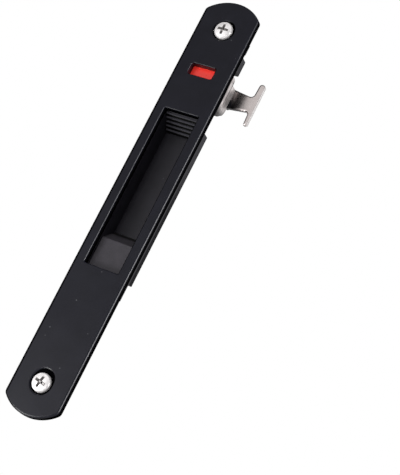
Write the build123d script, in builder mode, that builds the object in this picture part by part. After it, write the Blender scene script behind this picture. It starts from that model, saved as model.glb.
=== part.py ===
from build123d import *

import os

# Sliding door lock: face plate with a pull cup, a thumb slider, a colour indicator and a side hook.
# +Z runs up the door stile, the face looks towards -Y and the hook leaves towards +X.
# The origin lies midway between the fixing screws, on the back of the face plate.

# Face plate
plate_width = 25.0
plate_side_length = 178.0
plate_end_rise = 5.4
plate_thickness = 3.0
plate_corner_radius = 2.4
plate_edge_round = 0.8

# Fixing screws and their seats in the plate
screw_spacing = 161.5
screw_diameter = 4.0
screw_length = 16.0
screw_neck_diameter = 3.5
neck_run_out = 0.4
screw_clearance = 0.25
head_diameter = 7.8
head_height = 2.3
head_chamfer = 0.9
head_seat_gap = 0.7
head_seat_depth = 1.0
seat_rim = 0.25
lower_slot = 1.2
cross_width = 1.2
cross_length = 4.6
cross_depth = 1.4
screw_tip = 0.6

# Pull cup
cup_width = 16.1
cup_top = 41.0
cup_bottom = -31.0
cup_depth = 11.4
cup_corner_radius = 0.6
rim_round = 0.45

# Indicator window and tiles
window_width = 11.4
window_height = 5.2
window_center = 60.7
window_offset = -0.5
window_corner_radius = 0.8
tile_overlap = 0.2
tile_thickness = 0.8

# Moulded case behind the plate
case_wall = 1.4
case_floor = 1.5
case_top = 75.3
case_end_draft = 1.6
case_top_chamfer = 1.0
case_back_round = 1.0
hook_slot_top = 68.4
hook_slot_inset = 3.0
hook_slot_margin = 1.7
lug_width = 22.4
lug_thickness = 3.0
top_lug_length = 4.6
bottom_lug_length = 7.0

# Small case screws and the block screw
case_screw_diameter = 2.5
case_screw_bite = 1.6
case_screw_head = 4.6
case_screw_head_height = 1.6
case_screw_spread = 15.4
case_cross_width = 0.7
case_cross_length = 2.6
top_case_screw = 2.3
bottom_case_screw = 3.6
block_screw_diameter = 2.9
block_screw_head = 5.4
block_screw_length = 7.0

# End block in the cup
block_top_depth = 3.85
block_top_length = 13.1
block_slope_length = 5.5
block_edge_round = 0.4

# Thumb slider
slide_travel = 6.0
tongue_thickness = 1.7
tongue_top_margin = 0.4
ramp_drop = 5.9
ramp_foot = 0.6
ridge_count = 5
ridge_radius = 0.62
wedge_back = 3.5
spring_space = 1.1
rail_width = 1.5
rail_depth = 4.0
rail_top = 66.0

# Detent spring
spring_thickness = 0.35
spring_width = 3.2
spring_foot = 2.0
spring_half_span = 7.5
spring_center = 54.5
notch_depth = 0.75
notch_half_width = 2.2
spring_rib = 0.6
spring_bend = 1.5
spring_crown_gap = 0.25

# Latch hook, folded twice from sheet
sheet = 2.0
bend_radius = 0.5
hook_bottom = 46.1
hook_top = 64.7
leaf_gap = 0.1
head_plane_depth = 11.0
stem_root_bottom = 52.9
stem_root_top = 61.6
stem_neck_bottom = 54.0
stem_neck_top = 60.7
tee_reach = 11.45
upper_arm_width = 2.8
lower_arm_width = 1.9
arm_taper = 0.35
tee_bottom = 47.9
tee_top = 67.4
upper_tip_radius = 1.1
lower_tip_radius = 0.7
tee_inner_radius = 1.4
riser_shoulder = 0.1

# Rivets that hold the hook to the slider
rivet_diameter = 3.0
rivet_head = 5.0
rivet_head_height = 1.2
rivet_spacing = 6.4
rivet_inset = 0.8
rivet_height = 50.6
head_cone_angle = 90

# Named clearances
slide_clearance = 0.2
front_gap = 0.3
stop_clearance = 0.3
block_clearance = 0.1
tile_clearance = 0.05
rivet_clearance = 0.05
hook_side_gap = 0.1
thread_clearance = 0.05

# Values that follow from the sizes above
plate_half_width = plate_width / 2
plate_half_side = plate_side_length / 2
cup_half = cup_width / 2
cup_middle = (cup_top + cup_bottom) / 2
cup_length = cup_top - cup_bottom
floor_y = cup_depth - plate_thickness
screw_neck_length = plate_thickness - head_seat_depth + neck_run_out
case_half = cup_half + case_wall
case_back = floor_y + case_floor
case_bottom = cup_bottom - case_wall
chamber_top = case_top - case_wall
hook_slot_bottom = hook_bottom - slide_travel - hook_slot_margin
slider_half = cup_half - slide_clearance
tongue_front = front_gap
tongue_back = tongue_front + tongue_thickness
tile_width = window_width + 2 * tile_overlap
tile_height = slide_travel - tile_clearance * 4
tongue_top = window_center + slide_travel + tile_height / 2 + tongue_top_margin
ramp_top = cup_top - stop_clearance / 3
ramp_bottom = ramp_top - ramp_drop
slider_foot_y = floor_y - slide_clearance
ramp_foot_y = slider_foot_y - ramp_foot
wedge_top = ramp_top + wedge_back
leaf_back = tongue_back + sheet
riser_inner = case_half + hook_side_gap
riser_outer = riser_inner + sheet
head_front = head_plane_depth - plate_thickness
head_back = head_front + sheet
tee_outer = riser_outer + tee_reach
upper_arm_inner = tee_outer - upper_arm_width
lower_arm_inner = tee_outer - lower_arm_width
rail_left = -slider_half + spring_space
spring_crown = rail_left + notch_depth - spring_crown_gap - spring_thickness
leaf_left = rail_left + rail_width + leaf_gap
first_rivet = leaf_left + rivet_head / 2 + rivet_inset
shoulder_y = tongue_back + riser_shoulder
hook_lowest = min(hook_bottom, tee_bottom)
hook_highest = max(hook_top, tee_top)
top_lug_z = case_top + top_case_screw
bottom_lug_z = case_bottom - bottom_case_screw
block_top_y = block_top_depth - plate_thickness
block_crest = cup_bottom + block_top_length
block_screw_z = cup_bottom + block_top_length / 2


def face_plane(y):
    """A plane that looks out of the plate's face, with X across and Z up, at depth y."""
    return Plane(origin=(0, y, 0), x_dir=(1, 0, 0), z_dir=(0, -1, 0))


def side_plane(x):
    """A plane that looks along +X, with Y across and Z up, at place x."""
    return Plane(origin=(x, 0, 0), x_dir=(0, 1, 0), z_dir=(1, 0, 0))


def level_plane(z):
    """A level plane at height z."""
    return Plane.XY.offset(z)


case_screw_places = [
    (side * case_screw_spread / 2, height)
    for height in (top_lug_z, bottom_lug_z)
    for side in (-1, 1)
]
lower_screw = (0, -screw_spacing / 2)
upper_screw = (0, screw_spacing / 2)
fixing_places = [lower_screw, upper_screw]
rivet_places = [(first_rivet, rivet_height), (first_rivet + rivet_spacing, rivet_height)]
tile_places = [(window_offset, window_center), (window_offset, window_center + slide_travel)]

os.makedirs("parts", exist_ok=True)


def screw_openings(radius):
    """A round opening at the upper screw and, at the lower one, a slot with the screw at its foot."""
    with Locations(upper_screw):
        Circle(radius)
    with Locations((0, lower_screw[1] + lower_slot / 2)):
        SlotCenterToCenter(lower_slot, 2 * radius, rotation=90)


# Face plate: long sides, shallow arched ends, rounded front edge, cup opening and window
with BuildPart() as face_plate:
    with BuildSketch(face_plane(0)):
        with BuildLine():
            Line((plate_half_width, -plate_half_side), (plate_half_width, plate_half_side))
            ThreePointArc(
                (plate_half_width, plate_half_side),
                (0, plate_half_side + plate_end_rise),
                (-plate_half_width, plate_half_side),
            )
            Line((-plate_half_width, plate_half_side), (-plate_half_width, -plate_half_side))
            ThreePointArc(
                (-plate_half_width, -plate_half_side),
                (0, -plate_half_side - plate_end_rise),
                (plate_half_width, -plate_half_side),
            )
        make_face()
        fillet(vertices(), plate_corner_radius)
    extrude(amount=plate_thickness)
    fillet(faces().sort_by(Axis.Y)[0].edges(), plate_edge_round)
    with BuildSketch(face_plane(0)):
        with Locations((0, cup_middle)):
            RectangleRounded(cup_width, cup_length, cup_corner_radius)
        with Locations((window_offset, window_center)):
            RectangleRounded(window_width, window_height, window_corner_radius)
    extrude(amount=plate_thickness, mode=Mode.SUBTRACT)
    rim_edges = faces().sort_by(Axis.Y)[0].inner_wires().edges()
    fillet(rim_edges, rim_round)
    with BuildSketch(face_plane(-plate_thickness)):
        screw_openings(head_diameter / 2 + head_seat_gap)
    extrude(amount=-head_seat_depth, mode=Mode.SUBTRACT)
    seat_edges = edges(Select.LAST).group_by(Axis.Y)[0]
    chamfer(seat_edges, seat_rim)
    with BuildSketch(face_plane(0)):
        screw_openings(screw_diameter / 2 + screw_clearance)
    extrude(amount=plate_thickness, mode=Mode.SUBTRACT)
    with BuildSketch(face_plane(0)):
        with Locations(*case_screw_places):
            Circle(case_screw_diameter / 2 + thread_clearance)
    extrude(amount=case_screw_bite + thread_clearance, mode=Mode.SUBTRACT)
face_plate.part.label = "face_plate"
export_step(face_plate.part, "parts/face_plate.step")

# Case: pull cup below, slide chamber above, a lug at each end and the hook slot in one side
with BuildPart() as lock_case:
    with BuildSketch(side_plane(-case_half)):
        Polygon(
            (0, case_bottom),
            (case_back, case_bottom + case_end_draft),
            (case_back, case_top - case_top_chamfer),
            (case_back - case_top_chamfer, case_top),
            (0, case_top),
            align=None,
        )
    extrude(amount=2 * case_half)
    back_edges = edges().filter_by(Axis.Z).group_by(Axis.Y)[-1]
    fillet(back_edges, case_back_round)
    with BuildSketch(face_plane(0)):
        with Locations((0, case_top)):
            Rectangle(lug_width, top_lug_length, align=(Align.CENTER, Align.MIN))
        with Locations((0, cup_bottom)):
            Rectangle(lug_width, case_wall + bottom_lug_length, align=(Align.CENTER, Align.MAX))
        with Locations((0, screw_spacing / 2)):
            Circle(head_diameter / 2, mode=Mode.SUBTRACT)
    extrude(amount=-lug_thickness)
    with BuildSketch(face_plane(0)):
        with Locations((0, cup_bottom)):
            Rectangle(cup_width, chamber_top - cup_bottom, align=(Align.CENTER, Align.MIN))
    extrude(amount=-floor_y, mode=Mode.SUBTRACT)
    with BuildSketch(face_plane(0)):
        with Locations((case_half - hook_slot_inset, hook_slot_bottom)):
            Rectangle(
                hook_slot_inset,
                hook_slot_top - hook_slot_bottom,
                align=(Align.MIN, Align.MIN),
            )
    extrude(amount=-case_back, mode=Mode.SUBTRACT)
    with BuildSketch(face_plane(tongue_back)):
        with Locations(
            (-cup_half, spring_center - spring_half_span - slide_clearance),
            (-cup_half, spring_center + spring_half_span + slide_clearance + spring_rib),
        ):
            Rectangle(spring_rib, spring_rib, align=(Align.MIN, Align.MAX))
    extrude(amount=-spring_width)
    with BuildSketch(face_plane(0)):
        with Locations(*case_screw_places):
            Circle(case_screw_diameter / 2 + screw_clearance)
    extrude(amount=-lug_thickness, mode=Mode.SUBTRACT)
    with Locations(Plane(origin=(0, case_back, block_screw_z), z_dir=(0, 1, 0))):
        CounterSinkHole(
            radius=block_screw_diameter / 2 + screw_clearance,
            counter_sink_radius=block_screw_head / 2 + thread_clearance,
            depth=case_floor,
            counter_sink_angle=head_cone_angle,
        )
lock_case.part.label = "lock_case"
export_step(lock_case.part, "parts/lock_case.step")

# End block: a flat-topped insert with a slope that mirrors the slider's ramp
with BuildPart() as cup_end_block:
    with BuildSketch(side_plane(-cup_half + block_clearance)):
        Polygon(
            (floor_y, cup_bottom + block_clearance),
            (block_top_y, cup_bottom + block_clearance),
            (block_top_y, block_crest),
            (floor_y, block_crest + block_slope_length),
            align=None,
        )
    extrude(amount=2 * (cup_half - block_clearance))
    crest_edges = faces().sort_by(Axis.Y)[0].edges()
    fillet(crest_edges, block_edge_round)
    with BuildSketch(face_plane(floor_y)):
        with Locations((0, block_screw_z)):
            Circle(block_screw_diameter / 2 + thread_clearance)
    extrude(amount=block_screw_length - case_floor + stop_clearance, mode=Mode.SUBTRACT)
cup_end_block.part.label = "cup_end_block"
export_step(cup_end_block.part, "parts/cup_end_block.step")

# Thumb slider: ridged ramp, tongue behind the plate, detent rail and pockets for the two tiles
with BuildPart() as thumb_slider:
    with BuildSketch(side_plane(-slider_half)):
        Polygon(
            (tongue_front, wedge_top),
            (tongue_front, ramp_top),
            (ramp_foot_y, ramp_bottom),
            (slider_foot_y, ramp_bottom),
            (slider_foot_y, wedge_top),
            align=None,
        )
        for step in range(ridge_count):
            share = (step + 0.5) / ridge_count
            ridge_y = tongue_front + share * (ramp_foot_y - tongue_front)
            ridge_z = ramp_top - share * ramp_drop
            with Locations((ridge_y, ridge_z)):
                Circle(ridge_radius)
    extrude(amount=2 * slider_half)
    with BuildSketch(face_plane(tongue_front)):
        with Locations((slider_half, wedge_top)):
            Rectangle(
                slider_half - rail_left,
                tongue_top - wedge_top,
                align=(Align.MAX, Align.MIN),
            )
    extrude(amount=-tongue_thickness)
    with BuildSketch(face_plane(tongue_back)):
        with Locations((rail_left, wedge_top)):
            Rectangle(rail_width, rail_top - wedge_top, align=(Align.MIN, Align.MIN))
    extrude(amount=-rail_depth)
    with BuildSketch(face_plane(tongue_front)):
        for notch_z in (spring_center, spring_center + slide_travel):
            with BuildLine():
                Polyline(
                    (rail_left, notch_z - notch_half_width),
                    (rail_left + notch_depth, notch_z),
                    (rail_left, notch_z + notch_half_width),
                    close=True,
                )
            make_face()
    extrude(amount=-tongue_thickness - rail_depth, mode=Mode.SUBTRACT)
    with BuildSketch(face_plane(tongue_front)):
        with Locations(*tile_places):
            Rectangle(tile_width + 2 * tile_clearance, tile_height + 2 * tile_clearance)
    extrude(amount=-tile_thickness, mode=Mode.SUBTRACT)
    for rivet_x, rivet_z in rivet_places:
        with Locations(Plane(origin=(rivet_x, tongue_front, rivet_z), z_dir=(0, -1, 0))):
            CounterSinkHole(
                radius=rivet_diameter / 2 + rivet_clearance,
                counter_sink_radius=rivet_head / 2 + rivet_clearance,
                depth=tongue_thickness,
                counter_sink_angle=head_cone_angle,
            )
thumb_slider.part.label = "thumb_slider"
export_step(thumb_slider.part, "parts/thumb_slider.step")

# Indicator tiles: red shows with the hook raised, green with it lowered
with BuildPart() as indicator_red:
    with BuildSketch(face_plane(tongue_front + tile_thickness)):
        with Locations(tile_places[0]):
            Rectangle(tile_width, tile_height)
    extrude(amount=tile_thickness)
indicator_red.part.label = "indicator_red"
export_step(indicator_red.part, "parts/indicator_red.step")

with BuildPart() as indicator_green:
    with BuildSketch(face_plane(tongue_front + tile_thickness)):
        with Locations(tile_places[1]):
            Rectangle(tile_width, tile_height)
    extrude(amount=tile_thickness)
indicator_green.part.label = "indicator_green"
export_step(indicator_green.part, "parts/indicator_green.step")

# Latch hook: leaf in the case, riser outside the slot and a T that catches a keeper either way
sheet_middle = sheet / 2
with BuildPart() as latch_hook:
    with BuildSketch(level_plane(hook_lowest)):
        with BuildLine():
            FilletPolyline(
                (leaf_left, tongue_back + sheet_middle),
                (riser_inner + sheet_middle, tongue_back + sheet_middle),
                (riser_inner + sheet_middle, head_front + sheet_middle),
                (tee_outer, head_front + sheet_middle),
                radius=bend_radius + sheet_middle,
            )
        trace(line_width=sheet)
    extrude(amount=hook_highest - hook_lowest)
    with BuildSketch(face_plane(tongue_back)) as hook_outline:
        with Locations((leaf_left, hook_bottom)):
            Rectangle(riser_outer - leaf_left, hook_top - hook_bottom, align=(Align.MIN, Align.MIN))
        Polygon(
            (riser_inner, stem_root_bottom),
            (riser_outer, stem_root_bottom),
            (lower_arm_inner, stem_neck_bottom),
            (lower_arm_inner + arm_taper, tee_bottom),
            (tee_outer, tee_bottom),
            (tee_outer, tee_top),
            (upper_arm_inner + arm_taper, tee_top),
            (upper_arm_inner, stem_neck_top),
            (riser_outer, stem_root_top),
            (riser_inner, stem_root_top),
            align=None,
        )
        arm_corners = hook_outline.vertices().filter_by_position(
            Axis.X, upper_arm_inner - sheet_middle, lower_arm_inner + sheet_middle
        )
        neck_corners = arm_corners.filter_by_position(
            Axis.Y, stem_neck_bottom - sheet_middle, stem_neck_top + sheet_middle
        )
        fillet(neck_corners, tee_inner_radius)
        fillet(hook_outline.vertices().group_by(Axis.Y)[-1], upper_tip_radius)
        tee_corners = hook_outline.vertices().filter_by_position(
            Axis.X, upper_arm_inner - sheet_middle, tee_outer + sheet_middle
        )
        fillet(tee_corners.group_by(Axis.Y)[0], lower_tip_radius)
    extrude(amount=-head_back, mode=Mode.INTERSECT)
    with BuildSketch(side_plane(cup_half)):
        for root, end in ((stem_root_top, hook_top), (stem_root_bottom, hook_bottom)):
            corner_radius = abs(end - root)
            with BuildLine():
                Line((shoulder_y, end), (head_back, end))
                Line((head_back, end), (head_back, root))
                Line((head_back, root), (shoulder_y + corner_radius, root))
                CenterArc((shoulder_y, root), corner_radius, 0, 90 if end > root else -90)
            make_face()
    extrude(amount=riser_outer - cup_half, mode=Mode.SUBTRACT)
    with BuildSketch(face_plane(tongue_back)):
        with Locations(*rivet_places):
            Circle(rivet_diameter / 2 + rivet_clearance)
    extrude(amount=-sheet, mode=Mode.SUBTRACT)
latch_hook.part.label = "latch_hook"
export_step(latch_hook.part, "parts/latch_hook.step")

# Rivets: flush front head in the tongue, low coned head behind the hook's leaf
with BuildPart() as hook_rivets:
    with BuildSketch(face_plane(tongue_front)):
        with Locations(*rivet_places):
            Circle(rivet_diameter / 2)
    extrude(amount=-tongue_thickness - sheet)
    for rivet_x, rivet_z in rivet_places:
        with BuildSketch(Plane(origin=(rivet_x, tongue_front, rivet_z), z_dir=(0, 1, 0))):
            Circle(rivet_head / 2)
        extrude(amount=(rivet_head - rivet_diameter) / 2, taper=head_cone_angle / 2)
    with BuildSketch(face_plane(leaf_back)):
        with Locations(*rivet_places):
            Circle(rivet_head / 2)
    extrude(amount=-rivet_head_height)
    chamfer(faces().group_by(Axis.Y)[-1].edges(), rivet_head_height / 2)
hook_rivets.part.label = "hook_rivets"
export_step(hook_rivets.part, "parts/hook_rivets.step")

# Detent spring: a bowed strip on the case wall whose crown sits in a notch of the slider's rail
spring_wall = -cup_half + spring_thickness / 2
with BuildPart() as detent_spring:
    with BuildSketch(face_plane(tongue_back)):
        with BuildLine():
            FilletPolyline(
                (spring_wall, spring_center - spring_half_span),
                (spring_wall, spring_center - spring_half_span + spring_foot),
                (spring_crown, spring_center),
                (spring_wall, spring_center + spring_half_span - spring_foot),
                (spring_wall, spring_center + spring_half_span),
                radius=spring_bend,
            )
        trace(line_width=spring_thickness)
    extrude(amount=-spring_width)
detent_spring.part.label = "detent_spring"
export_step(detent_spring.part, "parts/detent_spring.step")


def cross_recess(width, length):
    """Two crossed bars, the mouth of a cross recess."""
    Rectangle(length, width)
    Rectangle(width, length)


# Fixing screws: cross-recess pan heads in the plate's counterbores, a thin neck and the shank
head_seat_y = head_seat_depth - plate_thickness
with BuildPart() as fixing_screws:
    with BuildSketch(face_plane(head_seat_y)):
        with Locations(*fixing_places):
            Circle(head_diameter / 2)
    extrude(amount=head_height)
    chamfer(faces().group_by(Axis.Y)[0].edges(), head_chamfer)
    with BuildSketch(face_plane(head_seat_y - head_height)):
        with Locations(*fixing_places):
            cross_recess(cross_width, cross_length)
    extrude(amount=-cross_depth, mode=Mode.SUBTRACT)
    with BuildSketch(face_plane(head_seat_y)):
        with Locations(*fixing_places):
            Circle(screw_neck_diameter / 2)
    extrude(amount=-screw_neck_length)
    with BuildSketch(face_plane(head_seat_y + screw_neck_length)):
        with Locations(*fixing_places):
            Circle(screw_diameter / 2)
    extrude(amount=screw_neck_length - screw_length)
    chamfer(faces().group_by(Axis.Y)[-1].edges(), screw_tip)
fixing_screws.part.label = "fixing_screws"
export_step(fixing_screws.part, "parts/fixing_screws.step")

# Case screws: four small cheese heads behind the lugs, biting into the plate's back
with BuildPart() as case_screws:
    with BuildSketch(face_plane(lug_thickness)):
        with Locations(*case_screw_places):
            Circle(case_screw_head / 2)
    extrude(amount=-case_screw_head_height)
    with BuildSketch(face_plane(lug_thickness + case_screw_head_height)):
        with Locations(*case_screw_places):
            cross_recess(case_cross_width, case_cross_length)
    extrude(amount=case_screw_head_height / 2, mode=Mode.SUBTRACT)
    with BuildSketch(face_plane(lug_thickness)):
        with Locations(*case_screw_places):
            Circle(case_screw_diameter / 2)
    extrude(amount=lug_thickness + case_screw_bite)
case_screws.part.label = "case_screws"
export_step(case_screws.part, "parts/case_screws.step")

# Block screw: flush countersunk head in the case floor, shank up into the end block
with BuildPart() as block_screw:
    with BuildSketch(Plane(origin=(0, case_back, block_screw_z), z_dir=(0, -1, 0))):
        Circle(block_screw_head / 2)
    extrude(amount=(block_screw_head - block_screw_diameter) / 2, taper=head_cone_angle / 2)
    with BuildSketch(Plane(origin=(0, case_back, block_screw_z), z_dir=(0, -1, 0))):
        Circle(block_screw_diameter / 2)
    extrude(amount=block_screw_length)
    with BuildSketch(Plane(origin=(0, case_back, block_screw_z), z_dir=(0, -1, 0))):
        cross_recess(case_cross_width, case_cross_length)
    extrude(amount=case_floor / 2, mode=Mode.SUBTRACT)
block_screw.part.label = "block_screw"
export_step(block_screw.part, "parts/block_screw.step")
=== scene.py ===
# %% [markdown]
# Sliding door lock: dressing a CAD part in Blender.
# The lock is let into the edge of a sliding door: a long black plate with a pull cup, a ridged slider for
# the thumb, a window that shows red or green, and a steel hook that leaves the side. Its solids come packed
# from CAD and stay where they are. Each step below gives a piece its finish, rounds its edges or adds
# detail. The pieces could be modelled afresh, but then nothing would say that they fit.

# %% Load the frame
import math

import bmesh
import bpy
from mathutils import Matrix, Vector


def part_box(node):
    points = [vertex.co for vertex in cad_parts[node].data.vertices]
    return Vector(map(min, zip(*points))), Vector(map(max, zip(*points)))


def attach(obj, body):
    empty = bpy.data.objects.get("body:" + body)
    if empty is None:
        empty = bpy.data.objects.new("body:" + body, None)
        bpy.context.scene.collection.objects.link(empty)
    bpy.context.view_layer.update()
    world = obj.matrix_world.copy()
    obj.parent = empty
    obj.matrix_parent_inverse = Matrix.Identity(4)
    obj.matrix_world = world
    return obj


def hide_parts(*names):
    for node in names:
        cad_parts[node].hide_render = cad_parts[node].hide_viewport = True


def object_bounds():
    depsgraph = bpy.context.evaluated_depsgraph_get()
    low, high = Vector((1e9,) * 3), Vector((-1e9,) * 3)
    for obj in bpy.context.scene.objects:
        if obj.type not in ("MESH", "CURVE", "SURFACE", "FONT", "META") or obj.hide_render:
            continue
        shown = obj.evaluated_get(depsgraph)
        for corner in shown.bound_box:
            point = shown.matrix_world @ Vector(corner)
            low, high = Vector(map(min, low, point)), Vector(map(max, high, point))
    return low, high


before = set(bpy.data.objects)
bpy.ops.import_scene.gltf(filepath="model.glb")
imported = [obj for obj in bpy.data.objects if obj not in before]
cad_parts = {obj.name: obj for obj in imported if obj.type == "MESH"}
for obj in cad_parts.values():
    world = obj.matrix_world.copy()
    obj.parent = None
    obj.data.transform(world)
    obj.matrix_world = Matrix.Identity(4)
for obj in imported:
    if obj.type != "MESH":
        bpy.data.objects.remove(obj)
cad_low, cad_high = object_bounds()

mm = 0.001
print("CAD box in mm:", [round(side / mm, 2) for side in cad_high - cad_low])

# %% [markdown]
# Helpers for node trees.
# Shader and geometry trees are built the same way: add a node, set its properties, feed its sockets. Nodes
# could be placed by hand in the editor, but functions make the same tree on every run.

# %% Node helpers
def feed(tree, socket, value):
    """Links an output to a socket, or writes a plain value on it."""
    if isinstance(value, bpy.types.NodeSocket):
        tree.links.new(value, socket)
    else:
        socket.default_value = value


def add_node(tree, kind, inputs=None, **settings):
    """Adds a node, sets its properties by name and feeds its sockets."""
    node = tree.nodes.new(kind)
    for name, value in settings.items():
        setattr(node, name, value)
    for label, value in (inputs or {}).items():
        feed(tree, node.inputs[label], value)
    return node


def combined(tree, operation, first, second=0.0):
    """The result of a Math node."""
    return add_node(tree, "ShaderNodeMath", {0: first, 1: second}, operation=operation).outputs["Value"]


print("Ready: helpers for nodes")

# %% [markdown]
# Helpers for patterns.
# Worn, coated or rolled surfaces differ from place to place. Painted pictures could show that, but need a
# flat layout of every piece. Noise needs none. A map range stretches it, and a mix makes it a colour.

# %% Pattern helpers
def noise(tree, place, scale, detail):
    """Soft noise between 0 and 1."""
    inputs = {"Vector": place, "Scale": scale, "Detail": detail}
    return add_node(tree, "ShaderNodeTexNoise", inputs).outputs["Fac"]


def ranged(tree, value, low, high, to_low=0.0, to_high=1.0, curve="LINEAR"):
    """A value moved from one range to another and held inside it."""
    inputs = {"Value": value, "From Min": low, "From Max": high, "To Min": to_low, "To Max": to_high}
    return add_node(tree, "ShaderNodeMapRange", inputs, interpolation_type=curve).outputs["Result"]


def fading(tree, value, begin, end):
    """A mask that falls softly from 1 at the first place to 0 at the second."""
    return ranged(tree, value, begin, end, 1.0, 0.0, "SMOOTHSTEP")


def mixed(tree, factor, first, second):
    """The first colour where the factor is 0 and the second where it is 1."""
    inputs = {"Factor": factor, "A": first, "B": second}
    return add_node(tree, "ShaderNodeMix", inputs, data_type="RGBA").outputs["Result"]


print("Ready: helpers for patterns")

# %% [markdown]
# Helpers for places.
# A finish has to know where it is on the piece. A UV map would have to be unwrapped first. Object
# coordinates are metres in the part's own frame, so a pattern has a real size and slides with its piece.

# %% Place helpers
def object_place(tree):
    """The object's own coordinates, in metres."""
    return add_node(tree, "ShaderNodeTexCoord").outputs["Object"]


def face_look(tree):
    """The way a face looks, which every finished piece keeps in an attribute."""
    return add_node(tree, "ShaderNodeAttribute", attribute_name="facing").outputs["Vector"]


def parts_of(tree, vector):
    """The X, Y and Z outputs of a vector."""
    return add_node(tree, "ShaderNodeSeparateXYZ", {"Vector": vector}).outputs


print("Ready: helpers for places")

# %% [markdown]
# Helpers for groups.
# A finish that several materials share could be drawn in each of them again. A node group with named
# inputs is drawn once, and each material sets its own colours and sizes on it.

# %% Group helpers
FLOAT = "NodeSocketFloat"
COLOR = "NodeSocketColor"
VECTOR = "NodeSocketVector"


def new_group(name, inputs, outputs, kind="ShaderNodeTree"):
    """A node group: its tree, what it is given and what it has to give."""
    tree = bpy.data.node_groups.new(name, kind)
    for label, socket_type, value in inputs:
        socket = tree.interface.new_socket(label, in_out="INPUT", socket_type=socket_type)
        if value is not None:
            socket.default_value = value
    for label, socket_type in outputs:
        tree.interface.new_socket(label, in_out="OUTPUT", socket_type=socket_type)
    return tree, tree.nodes.new("NodeGroupInput").outputs, tree.nodes.new("NodeGroupOutput").inputs


print("Ready: helpers for groups")

# %% [markdown]
# What every finish group has.
# Coat, plastic and steel all lie between a dark and a light tone and between a smooth and a rough spot,
# with a fine relief. Each group could have its own inputs. Shared ones let a single function end them all.

# %% Finish groups
def finish_group(name, sizes):
    """A finish group, with its own sizes beside the shared inputs."""
    shared = [("Dark", COLOR, None), ("Light", COLOR, None)]
    shared += [(label, FLOAT, 0.3) for label in ("Smooth", "Rough", "Relief")]
    results = [("Color", COLOR), ("Roughness", FLOAT), ("Normal", VECTOR)]
    return new_group(name, shared + sizes, results)


def finish_from(tree, start, end, pattern, spread, sheen, relief, depth):
    """Ends such a group: a pattern round the value 1 sets colour, roughness and normal."""
    low, high = 1.0 - spread, 1.0 + spread
    share = ranged(tree, pattern, low, high)
    feed(tree, end["Color"], mixed(tree, share, start["Dark"], start["Light"]))
    at_low, at_high = (start[label] for label in sheen)
    feed(tree, end["Roughness"], ranged(tree, pattern, low, high, at_low, at_high))
    bump = {"Strength": start["Relief"], "Distance": depth, "Height": relief}
    feed(tree, end["Normal"], add_node(tree, "ShaderNodeBump", bump).outputs["Normal"])
    print("Group", tree.name, "has", len(tree.nodes), "nodes")


print("Finish groups can be made")

# %% [markdown]
# Moulded and coated surfaces.
# Sprayed coat and moulded plastic are never one even black: a fine grain breaks up the gloss, and broad
# soft patches differ a little. One noise could only do one of the two, so two are added.

# %% Grain group
grain_depth = 0.02 * mm
grain_spread = 0.35
grain_sizes = [("Grain Scale", FLOAT, 2500.0), ("Patch Scale", FLOAT, 120.0)]
grain_group, grain_in, grain_out = finish_group("coated_grain", grain_sizes)
place = object_place(grain_group)
patches = noise(grain_group, place, grain_in["Patch Scale"], 3.0)
grain = noise(grain_group, place, grain_in["Grain Scale"], 2.0)
pattern = combined(grain_group, "ADD", patches, grain)
sheen = ("Smooth", "Rough")
finish_from(grain_group, grain_in, grain_out, pattern, grain_spread, sheen, grain, grain_depth)

# %% [markdown]
# Rolled and turned steel.
# Sheet metal keeps faint lines from the rolls. A wave texture would look ruled. Noise that is squeezed
# across the lines and drawn out along them looks rolled, and cloudy noise breaks the lines up.

# %% Steel group
line_depth = 0.01 * mm
line_spread = 0.3
cloud_scale = 260.0
steel_group, steel_in, steel_out = finish_group("rolled_steel", [("Stretch", VECTOR, (1.0, 1.0, 1.0))])
place = object_place(steel_group)
stretching = {0: place, 1: steel_in["Stretch"]}
stretched = add_node(steel_group, "ShaderNodeVectorMath", stretching, operation="MULTIPLY")
lines = noise(steel_group, stretched.outputs["Vector"], 1.0, 4.0)
clouds = noise(steel_group, place, cloud_scale, 3.0)
pattern = combined(steel_group, "ADD", lines, clouds)
sheen = ("Rough", "Smooth")
finish_from(steel_group, steel_in, steel_out, pattern, line_spread, sheen, lines, line_depth)

# %% [markdown]
# Layers over a finish.
# Dust, painted shade and painted dark reflections lie on top of a finish and only change its colour. They
# could be mixed in each material. As groups with a Surface input they can be laid over any finish, one after
# another.

# %% Layer groups
def layer_group(name, top, sizes):
    """A group that lays a top colour over a surface."""
    inputs = [("Surface", COLOR, None), (top, COLOR, None)] + sizes
    return new_group(name, inputs, [("Color", COLOR)])


def lay(tree, start, end, mask, top):
    """Ends such a group: the top colour shows where a mask is 1."""
    feed(tree, end["Color"], mixed(tree, mask, start["Surface"], start[top]))
    print("Group", tree.name, "has", len(tree.nodes), "nodes")


print("Layer groups can be made")

# %% [markdown]
# Dust.
# Black shows every speck. Specks could be modelled, but would then belong to one piece. Here a speck is
# what lies close to the centre of a Voronoi cell, and the cell's random colour decides if it has one.

# %% Dust group
dust_sizes = [("Cells per Metre", FLOAT, 250.0), ("Speck Size", FLOAT, 0.055), ("Share", FLOAT, 0.25)]
dust_group, dust_in, dust_out = layer_group("dust_specks", "Dust", dust_sizes)
scatter = {"Vector": object_place(dust_group), "Scale": dust_in["Cells per Metre"]}
cells = add_node(dust_group, "ShaderNodeTexVoronoi", scatter)
draw = add_node(dust_group, "ShaderNodeSeparateColor", {"Color": cells.outputs["Color"]})
near = combined(dust_group, "LESS_THAN", cells.outputs["Distance"], dust_in["Speck Size"])
chosen = combined(dust_group, "LESS_THAN", draw.outputs["Red"], dust_in["Share"])
lay(dust_group, dust_in, dust_out, combined(dust_group, "MULTIPLY", near, chosen), "Dust")
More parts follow.
